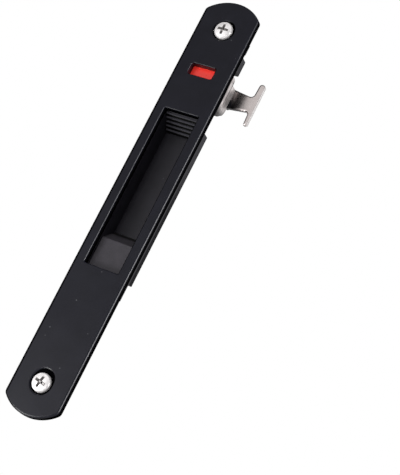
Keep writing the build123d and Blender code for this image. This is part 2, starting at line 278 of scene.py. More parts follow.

# %% [markdown]
# Painted shade by the way a face looks.
# Grooves and undersides get little light, so their shade is painted into the colour here. It could be
# painted by hand. This group compares the way a face looks with a given side, so it holds when the shape
# changes.

# %% Painted shade group
facing_shade_sizes = [("Side", VECTOR, (0.0, 0.0, 1.0)), ("Clean", FLOAT, -0.4), ("Dirty", FLOAT, -0.8)]
facing_shade_group, facing_shade_in, facing_shade_out = layer_group("painted_shade_by_facing", "Grime", facing_shade_sizes)
compared = {0: face_look(facing_shade_group), 1: facing_shade_in["Side"]}
along = add_node(facing_shade_group, "ShaderNodeVectorMath", compared, operation="DOT_PRODUCT").outputs["Value"]
limits = (facing_shade_in["Clean"], facing_shade_in["Dirty"])
# Faces that look away from the given side get the painted shade colour.
shaded_share = ranged(facing_shade_group, along, *limits, curve="SMOOTHSTEP")
lay(facing_shade_group, facing_shade_in, facing_shade_out, shaded_share, "Grime")

# %% [markdown]
# Painted dark reflection.
# Beside its fold the hook's steel mirrors the dark plate and case, and the riser's lower end mirrors dark
# surroundings; that darkness is painted into the colour here. A patch painted in an image would be bound to
# one piece. Two soft fades along X and Z shape it, and noise shifts its border so that it doesn't end in a
# straight line.

# %% Painted dark reflection group
darkening_strength = 1.2
border_shift = 2.4 * mm
border_scale = 420.0
dark_reflection_sizes = [(label, FLOAT, 0.0) for label in ("From X", "To X", "From Z", "To Z")]
dark_reflection_group, dark_reflection_in, dark_reflection_out = layer_group("painted_dark_reflection", "Grease", dark_reflection_sizes)
place = object_place(dark_reflection_group)
parts = parts_of(dark_reflection_group, place)
shift = combined(dark_reflection_group, "MULTIPLY", noise(dark_reflection_group, place, border_scale, 2.0), border_shift)
shifted = combined(dark_reflection_group, "ADD", shift, parts["X"])
across = fading(dark_reflection_group, shifted, dark_reflection_in["From X"], dark_reflection_in["To X"])
upward = fading(dark_reflection_group, parts["Z"], dark_reflection_in["From Z"], dark_reflection_in["To Z"])
patch = combined(dark_reflection_group, "MULTIPLY", across, upward)
thick = combined(dark_reflection_group, "MULTIPLY", patch, darkening_strength)
lay(dark_reflection_group, dark_reflection_in, dark_reflection_out, combined(dark_reflection_group, "MINIMUM", thick, 1.0), "Grease")

# %% [markdown]
# From groups to materials.
# A whole shader could sit in a group, but then no material could change it. So the Principled BSDF stays in
# the material, a group feeds what changes over the surface, and constant numbers go on the shader.

# %% Material maker
def finish_material(name, group, tones, roughness, relief, sizes, constants):
    """A Principled material whose colour, roughness and normal come from a finish group."""
    material = bpy.data.materials.new(name)
    material.use_nodes = True
    tree = material.node_tree
    shader = tree.nodes["Principled BSDF"]
    dark, light = ((*tone, 1.0) for tone in tones)
    smooth, rough = roughness
    shared = {"Dark": dark, "Light": light, "Smooth": smooth, "Rough": rough, "Relief": relief}
    finish = add_node(tree, "ShaderNodeGroup", {**shared, **sizes}, node_tree=group)
    results = zip(("Base Color", "Roughness", "Normal"), finish.outputs)
    for label, value in [*results, *constants.items()]:
        feed(tree, shader.inputs[label], value)
    print("Material", name)
    return material


print("Materials can be made")

# %% [markdown]
# Two kinds of finish, and what goes over them.
# All the lock's surfaces are coat, plastic or steel. Each could be set up by itself, but two makers are
# enough. A third helper lays a group over the colour of a finished material.

# %% Coats, steels and layers
def coated(name, dark, light, roughness, grain, patches, relief, specular=0.5):
    """Sprayed coat or moulded plastic."""
    sizes = {"Grain Scale": grain, "Patch Scale": patches}
    constants = {"Specular IOR Level": specular}
    return finish_material(name, grain_group, (dark, light), roughness, relief, sizes, constants)


def steel(name, dark, light, roughness, stretch, relief, metallic=1.0):
    """Rolled, sheared or turned steel."""
    sizes = {"Stretch": stretch}
    return finish_material(name, steel_group, (dark, light), roughness, relief, sizes, {"Metallic": metallic})


def over(material, group, **values):
    """Lays a group over a material's colour."""
    tree = material.node_tree
    colour = tree.nodes["Principled BSDF"].inputs["Base Color"]
    inputs = {label.replace("_", " "): value for label, value in values.items()}
    inputs["Surface"] = colour.links[0].from_socket
    layer = add_node(tree, "ShaderNodeGroup", inputs, node_tree=group)
    feed(tree, colour, layer.outputs["Color"])


print("Ready: coats and steels")

# %% [markdown]
# Coat of the plate.
# The plate is sprayed a satin black. The black itself hardly shines, and the gloss is a clear coat over
# it. One glossy black could do both, but then the gloss couldn't end where the spray ended.

# %% Black satin coat
black_coat = coated(
    "black_satin_coat", dark=(0.002, 0.002, 0.004), light=(0.004, 0.004, 0.007), roughness=(0.30, 0.38),
    grain=2600.0, patches=140.0, relief=0.08, specular=0.0,
)
over(black_coat, dust_group, Dust=(0.06, 0.06, 0.065, 1.0), Share=0.35)

# %% [markdown]
# How deep the spray reached.
# The coat thins out on the plate's cut sides, which stay dull and nearly black. Two materials would leave a
# hard border. A fade with the depth behind the face leaves a soft one. The back is coated too.

# %% Depth of the coat
spray_reach = 0.58 * mm
spray_border = 0.15 * mm
plate_low, plate_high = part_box("face_plate")
spray_end = plate_low.y + spray_reach
tree = black_coat.node_tree
place = object_place(tree)
parts = parts_of(tree, place)
near_face = fading(tree, parts["Y"], spray_end, spray_end + spray_border)
near_back = fading(tree, parts["Y"], plate_high.y, plate_high.y - spray_border)
print("Coat ends", round(spray_reach / mm, 2), "mm behind the face")

# %% [markdown]
# Window walls.
# The window's walls are coated as well and mirror a little of the red tile. Face numbers would be lost with
# every change of the plate, so their place is read off the tile behind them.

# %% Coat in the window
window_half_height = 4.0 * mm
window_half_width = 8.0 * mm
window_border = 0.3 * mm
tile_low, tile_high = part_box("indicator_red")
window_z = (tile_low.z + tile_high.z) / 2


def near_middle(value, middle, half):
    """A mask that is 1 within half a size of the window's middle."""
    off = combined(tree, "ABSOLUTE", combined(tree, "SUBTRACT", value, middle))
    return fading(tree, off, half, half + window_border)


level = near_middle(parts["Z"], window_z, window_half_height)
beside = near_middle(parts["X"], 0.0, window_half_width)
in_window = combined(tree, "MULTIPLY", level, beside)
print("Window at Z", round(window_z / mm, 2), "mm")

# %% [markdown]
# Bare and shaded rims.
# The left rim and the edges that look to the left, away from the light, lose the coat and take a near-black
# colour: painted shade that draws a black line. One mask follows X and one the way a face looks, because the
# arched ends have no single X.

# %% Bare and shaded rims
def darkened(material, clear, dark):
    """Keeps a material's colour where a mask is 1 and darkens it where the mask is 0."""
    tree = material.node_tree
    colour = tree.nodes["Principled BSDF"].inputs["Base Color"]
    feed(tree, colour, mixed(tree, clear, dark, colour.links[0].from_socket))


shaded_rim_width = 0.9 * mm
rim_border = 0.4 * mm
shaded_rim_end = plate_low.x + shaded_rim_width
fully_lit = -0.03
fully_shaded = -0.25
bare_and_shaded_side = (0.0010, 0.0010, 0.0012, 1.0)
off_shaded_rim = fading(tree, parts["X"], shaded_rim_end + rim_border, shaded_rim_end)
toward_light = fading(tree, parts_of(tree, face_look(tree))["X"], fully_lit, fully_shaded)
lit_and_off_rim = combined(tree, "MULTIPLY", toward_light, off_shaded_rim)
covered = combined(tree, "MAXIMUM", combined(tree, "MAXIMUM", near_face, near_back), in_window)
coated_and_lit = combined(tree, "MULTIPLY", covered, lit_and_off_rim)
# The bare cut sides and the painted shade of the left-looking rims take the same near-black colour.
darkened(black_coat, coated_and_lit, bare_and_shaded_side)
print("Left rim is bare up to X", round(shaded_rim_end / mm, 2), "mm")

# %% [markdown]
# Clouds in the coat.
# A sprayed coat isn't equally thick all over, and its gloss shows faint clouds. A bump would bend the
# reflections. A little less Coat Weight here and there only weakens them.

# %% Coat weight
coat_clouds = 45.0
cloud_range = (0.35, 0.65)
thinnest_coat = 0.84
clouded = ranged(tree, noise(tree, place, coat_clouds, 2.0), *cloud_range, thinnest_coat, 1.0)
shader = tree.nodes["Principled BSDF"]
# The coat also leaves out the shaded rims, as part of the same painted shade.
feed(tree, shader.inputs["Coat Weight"], combined(tree, "MULTIPLY", coated_and_lit, clouded))
feed(tree, shader.inputs["Coat Roughness"], 0.34)
feed(tree, shader.inputs["Coat IOR"], 1.29)
print("Coat weighs", thinnest_coat, "to 1")

# %% [markdown]
# Moulded black plastic.
# Case and slider are moulded in black plastic, duller than the plate. The slider's ridges show as light
# bars with black grooves. More light would lift the grooves too, so the slider is a lighter black, which
# stands in for light on its bars, and painted shade darkens all that looks down, on the case as well.

# %% Black mouldings
black_moulding = coated(
    "black_moulding", dark=(0.0070, 0.0065, 0.0092), light=(0.0124, 0.0116, 0.0157),
    roughness=(0.40, 0.52), grain=3000.0, patches=180.0, relief=0.12, specular=0.20,
)
over(black_moulding, dust_group, Dust=(0.03, 0.03, 0.035, 1.0), Share=0.2)
# Painted shade on the case's faces that look down.
over(black_moulding, facing_shade_group, Grime=(0.0006, 0.0006, 0.0008, 1.0), Clean=-0.60, Dirty=-0.95)
slider_moulding = coated(
    "slider_moulding", dark=(0.024, 0.0232, 0.029), light=(0.038, 0.0367, 0.045),
    roughness=(0.36, 0.46), grain=3000.0, patches=220.0, relief=0.12, specular=0.10,
)
# Painted shade in the slider's grooves and on its undersides.
over(slider_moulding, facing_shade_group, Grime=(0.0004, 0.0004, 0.0005, 1.0), Clean=-0.35, Dirty=-0.70)

# %% [markdown]
# The case's outer side.
# Beside the plate's right edge a strip of the case shows. It is the same black plastic with a lighter colour:
# painted light where the light falls on it. Behind a line along Y it is darker low down, and its back edge is
# nearly black, both painted shade. A bump would be too fine to see, so these are fades along Y and Z.

# %% Case side
lit_case_side = coated(
    "lit_case_side", dark=(0.075, 0.073, 0.080), light=(0.100, 0.098, 0.106), roughness=(0.5, 0.6),
    grain=3000.0, patches=180.0, relief=0.12, specular=0.0,
)
tone_change_y = 6.2 * mm
tone_change_border = 0.7 * mm
darkest_z = 2.0 * mm
lightest_z = 26.0 * mm
least_dark = 0.25
painted_shade_rear = (0.026, 0.0255, 0.028, 1.0)
tree = lit_case_side.node_tree
parts = parts_of(tree, object_place(tree))
front_half = fading(tree, parts["Y"], tone_change_y, tone_change_y + tone_change_border)
low_down = ranged(tree, parts["Z"], darkest_z, lightest_z, 1.0, least_dark, "SMOOTHSTEP")
rear = combined(tree, "MULTIPLY", combined(tree, "SUBTRACT", 1.0, front_half), low_down)
darkened(lit_case_side, combined(tree, "SUBTRACT", 1.0, rear), painted_shade_rear)
back_edge = 8.3 * mm
edge_border = 0.6 * mm
painted_shade_back_edge = (0.004, 0.004, 0.0045, 1.0)
in_front = fading(tree, parts["Y"], back_edge, back_edge + edge_border)
darkened(lit_case_side, in_front, painted_shade_back_edge)

# %% [markdown]
# The grained block.
# The block at the cup's lower end is lighter than the cup and dull as sandpaper, so its grain is coarse.
# Its slope runs out to a thin edge on the cup's floor, where a painted shadow draws a dark line along the
# joint. A gap would be thinner than a pixel, so the line is a fade along Z.

# %% Grained block
grey_block = coated(
    "grained_block", dark=(0.0185, 0.0166, 0.0210), light=(0.0330, 0.0298, 0.0365),
    roughness=(0.58, 0.72), grain=2000.0, patches=300.0, relief=0.5, specular=0.30,
)
block_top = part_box("cup_end_block")[1].z
joint_begin = block_top - 1.9 * mm
joint_full = block_top - 1.4 * mm
tree = grey_block.node_tree
height = parts_of(tree, object_place(tree))["Z"]
painted_joint_shadow = (0.001, 0.001, 0.001, 1.0)
darkened(grey_block, fading(tree, height, joint_begin, joint_full), painted_joint_shadow)
print("Joint line from Z", round(joint_begin / mm, 2), "mm")

# %% [markdown]
# Red and green tiles.
# The tiles behind the window are bright, slightly glossy plastic. Deep in the window the red stays duller
# than it looks, and a purer base colour would stay too dull, so it has a little emission: a painted glow,
# though the tile is no lamp.

# %% Tiles
tile_finish = {"roughness": (0.25, 0.40), "grain": 1800.0, "patches": 200.0, "relief": 0.1}
red_tile = coated("red_tile", (0.90, 0.038, 0.028), (0.98, 0.052, 0.038), **tile_finish)
red_shader = red_tile.node_tree.nodes["Principled BSDF"]
# Painted glow: the tile is no lamp.
red_shader.inputs["Emission Color"].default_value = (0.95, 0.03, 0.02, 1.0)
red_shader.inputs["Emission Strength"].default_value = 0.16
green_tile = coated("green_tile", (0.02, 0.36, 0.07), (0.04, 0.50, 0.11), **tile_finish)

# %% [markdown]
# Steel of the hook.
# The hook is cut from stainless sheet and folded twice. Its flats are smooth with faint lines, the riser
# beside the plate is scuffed along its length, and the sheared end of the T is rougher and less metallic,
# with a near-white tone on its right-looking faces that is a painted highlight. One material couldn't hold
# all three, so faces pick theirs by their normal.

# %% Hook finishes
hook_steel = steel(
    "hook_stainless", dark=(0.65, 0.585, 0.57), light=(0.73, 0.66, 0.645), roughness=(0.20, 0.27),
    stretch=(300.0, 300.0, 2400.0), relief=0.01,
)
edge_highlight_steel = steel(
    "sheared_edge_highlight", dark=(0.86, 0.81, 0.80), light=(0.98, 0.93, 0.92), roughness=(0.3, 0.45),
    stretch=(300.0, 1500.0, 300.0), relief=0.05, metallic=0.4,
)
riser_steel = steel(
    "riser_stainless", dark=(0.34, 0.315, 0.31), light=(0.98, 0.91, 0.90), roughness=(0.34, 0.5),
    stretch=(300.0, 1300.0, 60.0), relief=0.05, metallic=0.6,
)

# %% [markdown]
# Painted dark reflection and painted shade on the hook.
# Beside the fold the stem is painted nearly black as a dark reflection that clears towards the T, the riser's
# lower end is painted darker the same way, and painted shade darkens the stem's underside, which hardly sees
# light. Darker steel would look like another metal, so layers lie over it.

# %% Painted darkness on the hook
hook_low, hook_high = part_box("latch_hook")
hook_reach = 11.45 * mm
riser_face = hook_high.x - hook_reach
# Painted dark reflection on the stem beside the fold.
over(
    hook_steel, dark_reflection_group, Grease=(0.026, 0.026, 0.031, 1.0),
    From_X=riser_face - 0.5 * mm, To_X=riser_face + 11.5 * mm,
    From_Z=hook_low.z + 7.9 * mm, To_Z=hook_low.z + 17.4 * mm,
)
# Painted shade on the stem's underside.
over(hook_steel, facing_shade_group, Grime=(0.07, 0.066, 0.066, 1.0), Clean=-0.80, Dirty=-0.97)
# Painted dark reflection on the riser's lower end.
over(
    riser_steel, dark_reflection_group, Grease=(0.09, 0.087, 0.087, 1.0),
    From_X=riser_face + 5.0 * mm, To_X=riser_face + 10.0 * mm,
    From_Z=hook_low.z, To_Z=hook_low.z + 7.0 * mm,
)
print("Riser's face at X", round(riser_face / mm, 2), "mm")

# %% [markdown]
# Screws, rivets and spring.
# The fixing screws are bright nickel. Plain metal would mirror the dark parts of the studio in patches, so
# they are only partly metallic. The recess has its own finish: a slightly darker nickel as painted shade,
# with a bright floor and walls darkened by more painted shade.

# %% Small steels
turned = {"stretch": (1500.0, 1500.0, 1500.0)}
upset = {"stretch": (900.0, 900.0, 900.0), "relief": 0.2}
drawn = {"stretch": (2500.0, 2500.0, 300.0), "relief": 0.2}
nickel = steel(
    "screw_nickel", (0.89, 0.86, 0.86), (0.98, 0.95, 0.95), (0.24, 0.34),
    **turned, relief=0.10, metallic=0.45,
)
shaded_recess_steel = steel(
    "screw_recess_shaded", (0.74, 0.71, 0.70), (0.88, 0.85, 0.84), (0.35, 0.5),
    **turned, relief=0.1, metallic=0.5,
)
# Painted shade on the recess walls; the floor that looks out stays bright.
over(shaded_recess_steel, facing_shade_group, Grime=(0.30, 0.285, 0.28, 1.0), Side=(0, 1, 0), Clean=-0.95, Dirty=-0.60)
zinc = steel("small_screw_zinc", (0.45, 0.45, 0.46), (0.66, 0.66, 0.67), (0.25, 0.4), **turned, relief=0.2)
rivet_steel = steel("rivet_steel", (0.42, 0.42, 0.42), (0.6, 0.6, 0.6), (0.25, 0.4), **upset)
spring_steel = steel("spring_steel", (0.32, 0.33, 0.35), (0.5, 0.5, 0.52), (0.2, 0.35), **drawn)

# %% [markdown]
# Softened copies of the solids.
# A CAD node arrives as loose triangles with knife-sharp corners, but real edges are rounded and catch the
# light. The CAD mesh must stay as it is, so each solid gets a copy: doubles merged, flat faces joined. A
# bevel by angle would round every edge, so bevel weights choose them, in one region if need be.

# %% Copy with marked edges
sharp_angle = math.radians(35)
flat_angle = math.radians(0.5)
merge_distance = 0.001 * mm


def new_object(name, data):
    """A new object in the scene."""
    thing = bpy.data.objects.new(name, data)
    bpy.context.scene.collection.objects.link(thing)
    return thing


def marked_copy(node, name, region):
    """A merged copy of a CAD node, with bevel weights on its sharp edges inside a region."""
    shape = bmesh.new()
    shape.from_mesh(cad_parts[node].data)
    bmesh.ops.remove_doubles(shape, verts=shape.verts, dist=merge_distance)
    bmesh.ops.dissolve_limit(
        shape, angle_limit=flat_angle, verts=shape.verts, edges=shape.edges, delimit={"NORMAL"}
    )
    weight = shape.edges.layers.float.new("bevel_weight_edge")
    for line in shape.edges:
        sharp = line.calc_face_angle(0.0) > sharp_angle
        if sharp and all(region(corner.co) for corner in line.verts):
            line[weight] = 1.0
    mesh = bpy.data.meshes.new(name)
    shape.to_mesh(mesh)
    shape.free()
    mesh.shade_smooth()
    return new_object(name + "_draft", mesh)


print("Copies can be marked")

# %% [markdown]
# From drafts to finished pieces.
# Modifiers could stay live on a piece, but the export doesn't carry them, so the result is taken as a plain
# mesh. It replaces its node, rides on the same body and keeps the way its faces look, which the painted
# shade and the plate's coat read.

# %% Plain pieces
def plain_mesh(source, name):
    """A plain mesh from an object with its modifiers, as a new object at the origin."""
    evaluated = source.evaluated_get(bpy.context.evaluated_depsgraph_get())
    piece = new_object(name, bpy.data.meshes.new_from_object(evaluated))
    bpy.data.objects.remove(source)
    return piece


def stand_for(piece, node, body):
    """Puts a finished piece in the place of a CAD node and keeps the way its faces look."""
    facing = piece.data.attributes.new("facing", "FLOAT_VECTOR", "CORNER")
    for corner, normal in zip(facing.data, piece.data.corner_normals):
        corner.vector = normal.vector
    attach(piece, body)
    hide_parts(node)
    print(piece.name, "has", len(piece.data.polygons), "faces")


print("Drafts can be finished")

# %% [markdown]
# One function for all solids.
# Each solid could have its own cell of steps, but all go the same way: copy, bevel, flat faces, plain mesh,
# material. So the cells below only say which node becomes which piece, its finish and its rounding.

# %% Softened pieces
def everywhere(point):
    """The region of a piece that is rounded all over."""
    return True


def softened(node, name, body, material, edge, region=everywhere):
    """A copy of a CAD node with rounded edges, which stands for the node."""
    copy = marked_copy(node, name, region)
    bevel = copy.modifiers.new("rounded_edges", "BEVEL")
    bevel.width = edge
    bevel.segments = 3
    bevel.use_clamp_overlap = region is everywhere
    bevel.limit_method = "WEIGHT"
    flats = copy.modifiers.new("flat_faces", "WEIGHTED_NORMAL")
    flats.weight = 90
    piece = plain_mesh(copy, name)
    piece.data.materials.clear()
    piece.data.materials.append(material)
    stand_for(piece, node, body)
    return piece


print("Solids can be softened")

# %% [markdown]
# The plate.
# It is pressed from one sheet. Its long edges are rounded in CAD already, and a bevel would only thin them.
# Only the rims of the two screw seats are still sharp, so the region is the face close to a screw.

# %% Plate
hair = 0.01 * mm
seat_reach = 7.5 * mm
screws_low, screws_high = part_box("fixing_screws")
fixing_head = (screws_high.x - screws_low.x) / 2
screw_heights = (screws_low.z + fixing_head, screws_high.z - fixing_head)


def seat_rim(point):
    """Whether a point lies on the plate's face, on the rim of a screw seat."""
    near_screw = any(math.hypot(point.x, point.z - height) < seat_reach for height in screw_heights)
    return near_screw and abs(point.y - plate_low.y) < hair


plate = softened("face_plate", "coated_plate", "lock_body", black_coat, 0.35 * mm, seat_rim)

# %% [markdown]
# Moulded pieces and tiles.
# Moulds leave a small radius on every edge. In CAD it would cost many small faces, so the bevel does it.
# The slider's is the largest: the thumb works on its ridges. A test on each face picks those of the
# case's outer wall, which take the strip's painted light and shade.

# %% Mouldings and tiles
outer_wall = 9.0 * mm


def dress_faces(piece, material, picked):
    """Gives a further material to the faces that a test picks."""
    piece.data.materials.append(material)
    slot = len(piece.data.materials) - 1
    faces = [face for face in piece.data.polygons if picked(face)]
    for face in faces:
        face.material_index = slot
    print(piece.name, "has", len(faces), "faces of", material.name)


def on_outer_wall(face):
    """Whether a face of the case looks out to the right on its outer wall."""
    return face.normal.x > 0.3 and face.center.x > outer_wall


case = softened("lock_case", "moulded_case", "lock_body", black_moulding, 0.15 * mm)
dress_faces(case, lit_case_side, on_outer_wall)
end_block = softened("cup_end_block", "grained_end_block", "lock_body", grey_block, 0.12 * mm)
slider = softened(
    "thumb_slider", "ridged_slider", "slide_carriage", slider_moulding, 0.28 * mm
)
softened("indicator_red", "red_tile_face", "slide_carriage", red_tile, 0.10 * mm)
softened("indicator_green", "green_tile_face", "slide_carriage", green_tile, 0.10 * mm)

# %% [markdown]
# The hook.
# A punched sheet is tumbled until its edges are round, and they draw a dark outline round stem and T. A
# bevel this wide would tear at the folds, where the CAD has arcs of its own, so the region leaves them out.

# %% Hook
hook_sheet = 2.0 * mm
hook_bend = 0.5 * mm
hook_edge = 0.80 * mm


def flat_of_hook(point):
    """Whether a point lies on the hook's flats, clear of the bends."""
    on_stem = riser_face + hook_bend - hair < point.x < hook_high.x - 5 * hair
    above_leaf = point.y > hook_low.y + hook_sheet + hook_bend
    below_stem = point.y < hook_high.y - hook_sheet - hook_bend
    on_riser = point.x > riser_face - hook_sheet - hair and above_leaf and below_stem
    return on_stem or on_riser


hook = softened(
    "latch_hook", "steel_hook", "slide_carriage", hook_steel, hook_edge, flat_of_hook
)

# %% [markdown]
# Riser and sheared edge.
# Both look to the right and differ only in where they are. They could be split off as pieces of their own,
# but the hook is one sheet, so only their finish differs.

# %% Faces of the hook
riser_end = riser_face + 5 * hair


def looks_right(face):
    """Whether a face looks to the right, away from the plate."""
    return face.normal.x > 0.8


dress_faces(hook, riser_steel, lambda face: looks_right(face) and face.center.x < riser_end)
# Only the end faces that look right, towards the light, get the near-white steel: a painted highlight.
dress_faces(hook, edge_highlight_steel, lambda face: looks_right(face) and face.center.x >= riser_end)

# %% [markdown]
# Hidden steel.
# The rivets, the spring and the block's screw show only when the lock is taken apart or seen from behind.
# They could stay as they come from CAD, but would look unfinished there.

# %% Hidden steel
softened("hook_rivets", "turned_rivets", "slide_carriage", rivet_steel, 0.08 * mm)
softened("detent_spring", "bowed_spring", "lock_body", spring_steel, 0.05 * mm)
softened("block_screw", "flush_block_screw", "lock_body", zinc, 0.06 * mm)

# %% [markdown]
# Cross-head screws.
# The lock has two sizes of one screw: a domed head, a cross recess, a plain neck and a thread. They could
# be modelled once and copied by hand. Geometry Nodes suit what repeats: one tree with named sizes makes the
# screw and puts it on every point it is given.

# %% Screw tree and its sizes
SCREW_SIZES = ["Head Radius", "Head Height", "Dome Radius", "Neck Radius", "Neck Length", "Core Radius"]
SCREW_SIZES += ["Thread Height", "Pitch", "Length", "Cross Length", "Cross Width", "Cross Depth"]
screw_tree, screw_in, screw_out = new_group(
    "cross_head_screw",
    [("Points", "NodeSocketGeometry", None)]
    + [(label, FLOAT, 1.0 * mm) for label in SCREW_SIZES]
    + [("Turn", VECTOR, None)]
    + [(label, "NodeSocketMaterial", None) for label in ("Finish", "Recess Finish")],
    [("Screws", "NodeSocketGeometry")],
    "GeometryNodeTree",
)
print("Screw tree takes", len(SCREW_SIZES), "sizes")

# %% [markdown]
# Helpers for the screw tree.
# The tree is a chain of bodies that are made, moved and cut. It could be written node by node, but the same
# steps come again and again, so each has a helper. Height 0 is the seat of the head, with the head up.

# %% Screw helpers
def made(kind, inputs, **settings):
    """Adds a node to the screw tree and returns its first output."""
    return add_node(screw_tree, kind, inputs, **settings).outputs[0]


def size(label):
    """One of the sizes that the screw tree is given."""
    return screw_in[label]


def calculate(operation, first, second):
    """The result of a Math node in the screw tree."""
    return combined(screw_tree, operation, first, second)


def at_height(height):
    """A vector that points straight up to a height."""
    return made("ShaderNodeCombineXYZ", {"Z": height})


def set_in_place(geometry, **inputs):
    """Moves, turns or scales a geometry."""
    named = {label.title(): value for label, value in inputs.items()}
    return made("GeometryNodeTransform", {"Geometry": geometry, **named})


print("Ready: helpers for the screw")

# %% [markdown]
# Bars and balls.
# A turned screw is made of round bodies. Profiles could be spun round the axis, but bars and balls with
# named sizes are easier to follow.

# %% Bars and balls
ROUND = 40


def turned_bar(radius, top, length):
    """A closed cylinder that hangs from the given height."""
    inputs = {"Vertices": ROUND, "Radius": radius, "Depth": length}
    middle = calculate("SUBTRACT", top, calculate("MULTIPLY", length, 0.5))
    return set_in_place(made("GeometryNodeMeshCylinder", inputs), translation=at_height(middle))


def ball(radius, height, rings):
    """A ball with its centre at the given height."""
    inputs = {"Segments": ROUND, "Rings": rings, "Radius": radius}
    return set_in_place(made("GeometryNodeMeshUVSphere", inputs), translation=at_height(height))


print("Bars are", ROUND, "sided")

# %% [markdown]
# The head.
# A pan head is turned: a short bar, a wide dome and a tighter curve at its rim. A squashed ball would be
# too round. What a bar and two balls have in common is just that shape.

# %% Screw head
def gathered(kind, label, bodies, inputs=None, **settings):
    """Adds a node that takes several bodies at one socket."""
    node = add_node(screw_tree, kind, inputs, **settings)
    for body in bodies:
        screw_tree.links.new(body, node.inputs[label])
    return node.outputs[0]


dome_height = calculate("SUBTRACT", size("Head Height"), size("Dome Radius"))
rim_radius = calculate("MULTIPLY", size("Head Radius"), 1.1)
rim_drop = calculate("MULTIPLY", size("Head Radius"), -0.2)
head_bodies = [
    turned_bar(size("Head Radius"), size("Head Height"), size("Head Height")),
    ball(size("Dome Radius"), dome_height, 48),
    ball(rim_radius, rim_drop, 64),
]
dome = gathered("GeometryNodeMeshBoolean", "Mesh 2", head_bodies, operation="INTERSECT")

# %% [markdown]
# The cross recess.
# A driver's cross narrows with depth, and a picture of it would stay flat. Two wedges at right angles are
# cut out of the dome. Their faces carry a mark into the cut, so that the recess can have its own finish.

# %% Cross recess
diagonal = math.sqrt(2.0)
inputs = {"Vertices": 4, "Radius Top": 0.5 * diagonal, "Radius Bottom": 0.24 * diagonal, "Depth": 1.0}
wedge = set_in_place(made("GeometryNodeMeshCone", inputs), rotation=(0, 0, math.radians(45)))
inputs = {"Geometry": wedge, "Name": "recess", "Value": True}
marked = made("GeometryNodeStoreNamedAttribute", inputs, data_type="BOOLEAN", domain="FACE")
wedge_floor = at_height(calculate("SUBTRACT", size("Head Height"), size("Cross Depth")))
wedge_height = calculate("MULTIPLY", size("Cross Depth"), 1.25)
inputs = {"X": size("Cross Length"), "Y": size("Cross Width"), "Z": wedge_height}
bar = set_in_place(marked, scale=made("ShaderNodeCombineXYZ", inputs))
turns = ((0, 0, 0), (0, 0, math.radians(90)))
cross = [set_in_place(bar, translation=wedge_floor, rotation=turn) for turn in turns]
recess = gathered("GeometryNodeMeshBoolean", "Mesh 2", cross, {"Mesh 1": dome}, operation="DIFFERENCE")

# %% [markdown]
# The thread.
# A thread is a ridge wound round a core. A bump could fake it, but from behind the outline tells. A spiral
# curve gives the path, and a four-sided profile swept along it the V.

# %% Thread
threaded = calculate("SUBTRACT", size("Length"), calculate("ADD", size("Neck Length"), size("Pitch")))
inputs = {
    "Resolution": 24,
    "Rotations": calculate("DIVIDE", threaded, size("Pitch")),
    "Start Radius": size("Core Radius"),
    "End Radius": size("Core Radius"),
    "Height": threaded,
}
helix = made("GeometryNodeCurveSpiral", inputs)
upright = made("GeometryNodeSetCurveNormal", {"Curve": helix}, mode="Z_UP")
inputs = {"Resolution": 4, "Radius": size("Thread Height")}
ridge = made("GeometryNodeCurvePrimitiveCircle", inputs)
inputs = {"Curve": upright, "Profile Curve": ridge, "Fill Caps": True}
thread = made("GeometryNodeCurveToMesh", inputs)
thread_start = calculate("SUBTRACT", calculate("MULTIPLY", size("Pitch"), 0.5), size("Length"))
print("Thread is added to", len(screw_tree.nodes), "nodes")

# %% [markdown]
# One screw on every point.
# Head, neck, core and thread are joined and put on the points. Copies by hand would all have the same turn.
# Here each point carries its own spin, as screws are never driven home at the same angle.

# %% One screw on every point
screw_bodies = [
    recess,
    turned_bar(size("Neck Radius"), 0.0, size("Neck Length")),
    turned_bar(size("Core Radius"), 0.0, size("Length")),
    set_in_place(thread, translation=at_height(thread_start)),
]
whole = gathered("GeometryNodeJoinGeometry", "Geometry", screw_bodies)
inputs = {"Points": size("Points"), "Instance": whole, "Rotation": size("Turn")}
spread = made("GeometryNodeInstanceOnPoints", inputs)
spin = made("GeometryNodeInputNamedAttribute", {"Name": "spin"}, data_type="FLOAT")
inputs = {"Instances": spread, "Rotation": at_height(spin), "Local Space": True}
driven = made("GeometryNodeRotateInstances", inputs)

# %% [markdown]
# Finish of the screws.
# The instances are made real, because the export takes only real faces. Materials could be set on the mesh
# later, but the mark of the recess is at hand here: one goes on all faces, one on the marked ones.

# %% Screw finish
solid = made("GeometryNodeRealizeInstances", {"Geometry": driven})
finished = made("GeometryNodeSetMaterial", {"Geometry": solid, "Material": size("Finish")})
in_recess = made("GeometryNodeInputNamedAttribute", {"Name": "recess"}, data_type="BOOLEAN")
inputs = {"Geometry": finished, "Selection": in_recess, "Material": size("Recess Finish")}
feed(screw_tree, screw_out["Screws"], made("GeometryNodeSetMaterial", inputs))
print("Tree cross_head_screw has", len(screw_tree.nodes), "nodes")

# %% [markdown]
# Two sets of screws from one tree.
# A set is a mesh of bare points with the tree as its modifier. Its inputs could be set by hand in the
# modifier's panel. Here their identifiers are used. The result is made plain and stands for a CAD node.

# %% Screw sets
def screw_set(name, node, places, spins, tilt, finish, sizes):
    """Screws on the given places, each driven home at its own spin, that stand for a CAD node."""
    points = bpy.data.meshes.new(name + "_points")
    points.from_pydata([tuple(place) for place in places], [], [])
    angles = points.attributes.new("spin", "FLOAT", "POINT")
    angles.data.foreach_set("value", [math.radians(angle) for angle in spins])
    holder = new_object(name + "_draft", points)
    modifier = holder.modifiers.new("screws", "NODES")
    modifier.node_group = screw_tree
    turn = (math.radians(tilt), 0, 0)
    values = {**sizes, "Turn": turn, "Finish": finish, "Recess Finish": shaded_recess_steel}
    for item in screw_tree.interface.items_tree:
        if item.in_out == "INPUT" and item.name in values:
            modifier[item.identifier] = values[item.name]
    piece = plain_mesh(holder, name)
    piece.data.shade_smooth()
    piece.data.set_sharp_from_angle(angle=sharp_angle)
    stand_for(piece, node, "lock_body")


